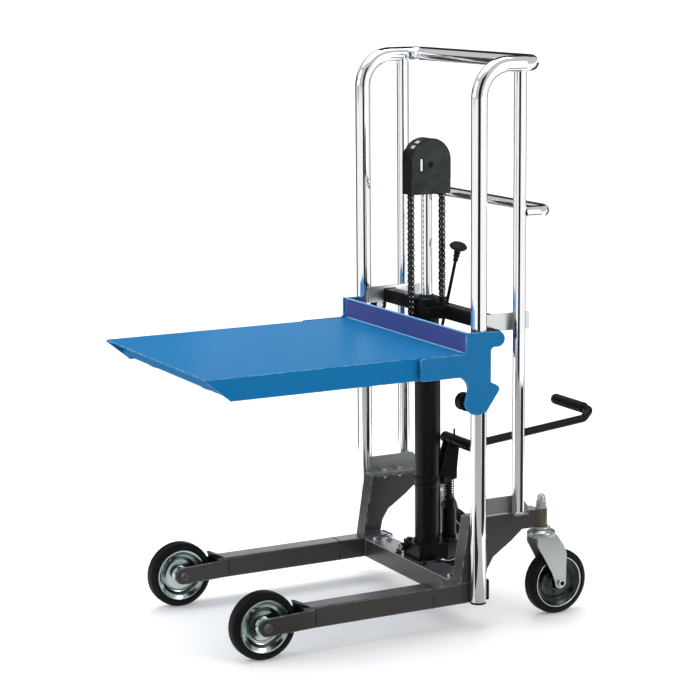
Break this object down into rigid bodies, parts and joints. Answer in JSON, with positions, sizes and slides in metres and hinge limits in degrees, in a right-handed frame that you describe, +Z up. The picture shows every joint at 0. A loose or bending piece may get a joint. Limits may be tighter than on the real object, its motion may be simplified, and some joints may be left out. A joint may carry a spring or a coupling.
{
  "type": "mobile lift table",
  "caption": "Foot-pumped lift table: a flat platform rides up a bent tubular mast on a chain and a hydraulic ram, over a wheeled base with straddling legs and swivel castors",
  "frame": {"origin": "middle of the overall box, on the floor under the wheels", "axes": "+X to the right-hand leg, +Y towards the castors and the pedal, +Z up; the platform points to -Y"},
  "size_m": [0.62, 1.163, 1.3499],
  "materials": {
    "frame_paint": "dark grey-brown satin paint on welded steel",
    "mast_chrome": "bright chrome plate on bent steel tube",
    "bright_zinc": "bright zinc plate on pressed steel",
    "rim_zinc": "bright zinc plate on pressed steel dishes",
    "tyre_rubber": "solid black rubber",
    "grip_rubber": "ribbed black rubber sleeve",
    "black_plastic": "moulded black plastic",
    "roller_nylon": "turned black nylon",
    "platform_blue": "blue gloss paint on folded sheet and plate",
    "black_paint": "black satin paint on steel",
    "cover_black": "fine textured black paint on pressed steel",
    "ground_steel": "ground bare steel",
    "chain_steel": "oiled dark steel"
  },
  "bodies": {
    "base": {"leg_arm_right": "frame_paint", "leg_arm_left": "frame_paint", "base_frame": "frame_paint", "gusset_right": "frame_paint", "gusset_left": "frame_paint", "front_fork_right": "frame_paint", "front_fork_left": "frame_paint", "front_axles": "frame_paint", "tube_plugs": "black_plastic", "base_bolts": "bright_zinc", "mast_loop": "mast_chrome", "rear_posts": "mast_chrome", "rear_handle": "mast_chrome", "lower_links": "bright_zinc", "upper_links": "bright_zinc", "upper_crossbeam": "black_paint", "castor_stems": "bright_zinc", "cylinder_barrel": "black_paint", "cylinder_head": "black_paint", "pump_block": "black_paint", "pump_barrel": "black_paint", "lever_bracket": "black_paint", "chain_rear_run": "chain_steel", "return_spring": "chain_steel"},
    "ram": {"piston_rod": "mast_chrome", "pulley_fork": "black_paint", "pulley_cover": "cover_black", "chain_bend": "chain_steel", "chain_front_run": "chain_steel"},
    "pulley": {"chain_pulley": "chain_steel"},
    "carriage": {"platform_deck": "platform_blue", "back_flange": "platform_blue", "platform_beams": "platform_blue", "beam_plugs": "black_plastic", "side_plate_right": "platform_blue", "side_plate_left": "platform_blue", "roller_axles": "bright_zinc", "chain_lug": "platform_blue"},
    "roller_high_right": {"roller_high_right": "roller_nylon"},
    "roller_high_left": {"roller_high_left": "roller_nylon"},
    "roller_low_right": {"roller_low_right": "roller_nylon"},
    "roller_low_left": {"roller_low_left": "roller_nylon"},
    "front_wheel_right": {"front_rim_right": "rim_zinc", "front_tyre_right": "tyre_rubber"},
    "front_wheel_left": {"front_rim_left": "rim_zinc", "front_tyre_left": "tyre_rubber"},
    "castor_right": {"castor_fork_right": "bright_zinc", "castor_axle_right": "bright_zinc"},
    "castor_left": {"castor_fork_left": "bright_zinc", "castor_axle_left": "bright_zinc"},
    "castor_wheel_right": {"castor_rim_right": "rim_zinc", "castor_tyre_right": "tyre_rubber"},
    "castor_wheel_left": {"castor_rim_left": "rim_zinc", "castor_tyre_left": "tyre_rubber"},
    "pedal": {"pedal_lever": "black_paint", "pedal_grip": "grip_rubber"},
    "plunger": {"pump_plunger": "ground_steel"},
    "release": {"release_rod": "black_paint", "release_knob": "black_plastic"},
    "valve": {"valve_arm": "black_paint"}
  },
  "joints": [
    {"name": "lift", "type": "slide", "parent": "base", "child": "ram", "axis": [0, 0, 1], "range_m": [-0.238, 0.24], "deforming": ["chain_rear_run"]},
    {"name": "carriage_lift", "type": "slide", "parent": "ram", "child": "carriage", "axis": [0, 0, 1], "range_m": [-0.239, 0.241], "deforming": ["chain_front_run"]},
    {"name": "pulley_turn", "type": "hinge", "parent": "ram", "child": "pulley", "pos_m": [0, 0.1375, 1.082], "axis": [1, 0, 0], "range_deg": [-325, 325]},
    {"name": "roller_high_right_turn", "type": "hinge", "parent": "carriage", "child": "roller_high_right", "pos_m": [0.284, 0.1528, 0.7], "axis": [1, 0, 0], "range_deg": [-1600, 1600]},
    {"name": "roller_low_right_turn", "type": "hinge", "parent": "carriage", "child": "roller_low_right", "pos_m": [0.284, 0.0782, 0.555], "axis": [1, 0, 0], "range_deg": [-1600, 1600]},
    {"name": "front_wheel_right_turn", "type": "hinge", "parent": "base", "child": "front_wheel_right", "pos_m": [0.24, -0.4295, 0.08], "axis": [1, 0, 0], "continuous": true},
    {"name": "roller_high_left_turn", "type": "hinge", "parent": "carriage", "child": "roller_high_left", "pos_m": [-0.284, 0.1528, 0.7], "axis": [1, 0, 0], "range_deg": [-1600, 1600]},
    {"name": "roller_low_left_turn", "type": "hinge", "parent": "carriage", "child": "roller_low_left", "pos_m": [-0.284, 0.0782, 0.555], "axis": [1, 0, 0], "range_deg": [-1600, 1600]},
    {"name": "front_wheel_left_turn", "type": "hinge", "parent": "base", "child": "front_wheel_left", "pos_m": [-0.24, -0.4295, 0.08], "axis": [1, 0, 0], "continuous": true},
    {"name": "castor_right_swivel", "type": "hinge", "parent": "base", "child": "castor_right", "pos_m": [0.258, 0.3075, 0.205], "axis": [0, 0, 1], "continuous": true},
    {"name": "castor_left_swivel", "type": "hinge", "parent": "base", "child": "castor_left", "pos_m": [-0.258, 0.3075, 0.205], "axis": [0, 0, 1], "continuous": true},
    {"name": "castor_wheel_right_turn", "type": "hinge", "parent": "castor_right", "child": "castor_wheel_right", "pos_m": [0.258, 0.3485, 0.08], "axis": [1, 0, 0], "continuous": true},
    {"name": "castor_wheel_left_turn", "type": "hinge", "parent": "castor_left", "child": "castor_wheel_left", "pos_m": [-0.2216, 0.32637, 0.08], "axis": [0.4602, -0.8878, 0], "continuous": true},
    {"name": "pedal_pivot", "type": "hinge", "parent": "base", "child": "pedal", "pos_m": [-0.012, 0.1815, 0.3], "axis": [1, 0, 0], "range_deg": [-30, 0], "stiffness_Nm_per_rad": 12, "springref_deg": 38.22},
    {"name": "plunger_slide", "type": "slide", "parent": "base", "child": "plunger", "axis": [0, 0, 1], "range_m": [-0.0152, 0.0002], "deforming": ["return_spring"]},
    {"name": "release_pull", "type": "slide", "parent": "base", "child": "release", "axis": [0, 0, 1], "range_m": [0, 0.012]},
    {"name": "valve_turn", "type": "hinge", "parent": "base", "child": "valve", "pos_m": [-0.05875, 0.1705, 0.128], "axis": [1, 0, 0], "range_deg": [-0.5, 22]}
  ],
  "couplings": [
    {"joint": "carriage_lift", "follows": "lift", "ratio": 1},
    {"joint": "pulley_turn", "follows": "lift", "rad_per_m": -23.256},
    {"joint": "roller_high_right_turn", "follows": "lift", "rad_per_m": 109.29},
    {"joint": "roller_low_right_turn", "follows": "lift", "rad_per_m": -109.29},
    {"joint": "roller_high_left_turn", "follows": "lift", "rad_per_m": 109.29},
    {"joint": "roller_low_left_turn", "follows": "lift", "rad_per_m": -109.29},
    {"joint": "plunger_slide", "follows": "pedal_pivot", "m_per_rad": 0.02827},
    {"joint": "valve_turn", "follows": "release_pull", "rad_per_m": 30.778}
  ]
}
